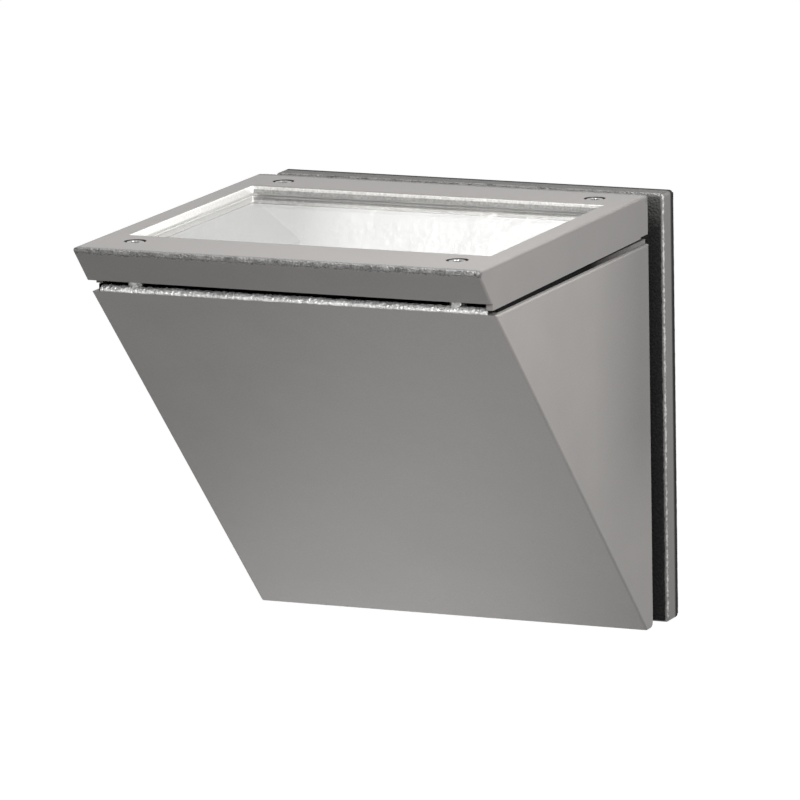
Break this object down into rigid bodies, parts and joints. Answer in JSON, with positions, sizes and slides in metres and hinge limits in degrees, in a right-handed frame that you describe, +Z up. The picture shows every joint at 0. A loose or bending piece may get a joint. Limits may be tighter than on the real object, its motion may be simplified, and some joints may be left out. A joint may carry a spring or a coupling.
{
  "type": "outdoor wall light",
  "caption": "Wedge-shaped cast wall light that shines up: wall plate, sloped housing, screwed glass frame over a hammered reflector with a double-ended lamp.",
  "frame": {"origin": "middle of the wall gasket's back, on the wall's surface", "axes": "+Y into the wall, -Y out to the front, +Z up, +X to the right as seen from the front"},
  "size_m": [0.155, 0.1862, 0.1628],
  "materials": {
    "silver_paint": "silver-grey metallic paint on cast aluminium, satin",
    "black_foam": "matt closed-cell foam",
    "black_rubber": "matt rubber",
    "steatite": "matt unglazed ceramic",
    "stainless_steel": "turned stainless steel",
    "brass": "bright brass",
    "spring_steel": "drawn wire",
    "zinc_plated_steel": "zinc plated sheet",
    "silicone": "translucent grey silicone",
    "lead_live_sleeve": "brown silicone sleeve",
    "lead_neutral_sleeve": "blue silicone sleeve",
    "lead_earth_sleeve": "green and yellow sleeve",
    "hammered_aluminium": "bright hammered sheet",
    "clear_glass": "clear toughened float glass",
    "quartz_glass": "clear quartz",
    "tungsten": "drawn tungsten wire"
  },
  "bodies": {
    "housing": {"wall_plate": "silver_paint", "wedge_housing": "silver_paint", "wall_gasket": "black_foam", "plate_gasket": "black_foam", "cable_grommet": "black_rubber", "wire_grommet": "black_rubber", "terminal_block": "steatite", "lampholder_left": "steatite", "lampholder_right": "steatite", "lamp_caps": "steatite", "locking_screws": "stainless_steel", "bracket_screws": "stainless_steel", "bracket_nuts": "stainless_steel", "terminal_block_screws": "stainless_steel", "lampholder_rivets": "stainless_steel", "earth_screw": "stainless_steel", "terminal_screws": "brass", "earth_tag": "brass", "contact_spring_left": "spring_steel", "contact_spring_right": "spring_steel", "lampholder_bracket": "zinc_plated_steel", "lead_live": "lead_live_sleeve", "lead_neutral": "lead_neutral_sleeve", "lead_earth": "lead_earth_sleeve", "reflector": "hammered_aluminium", "lamp_tube": "quartz_glass", "lamp_filament": "tungsten"},
    "frame": {"glass_frame": "silver_paint", "glass_pane": "clear_glass", "glass_seal": "silicone", "frame_screws": "stainless_steel"},
    "contact_left": {"contact_left": "brass"},
    "contact_right": {"contact_right": "brass"}
  },
  "joints": [
    {"name": "frame_lift", "type": "slide", "parent": "housing", "child": "frame", "axis": [0, 0, 1], "range_m": [0, 0.06]},
    {"name": "contact_left_slide", "type": "slide", "parent": "housing", "child": "contact_left", "axis": [-1, 0, 0], "range_m": [0, 0.003], "stiffness_N_per_m": 2000, "springref_m": -0.002, "deforming": ["contact_spring_left"]},
    {"name": "contact_right_slide", "type": "slide", "parent": "housing", "child": "contact_right", "axis": [1, 0, 0], "range_m": [0, 0.003], "stiffness_N_per_m": 2000, "springref_m": -0.002, "deforming": ["contact_spring_right"]}
  ]
}
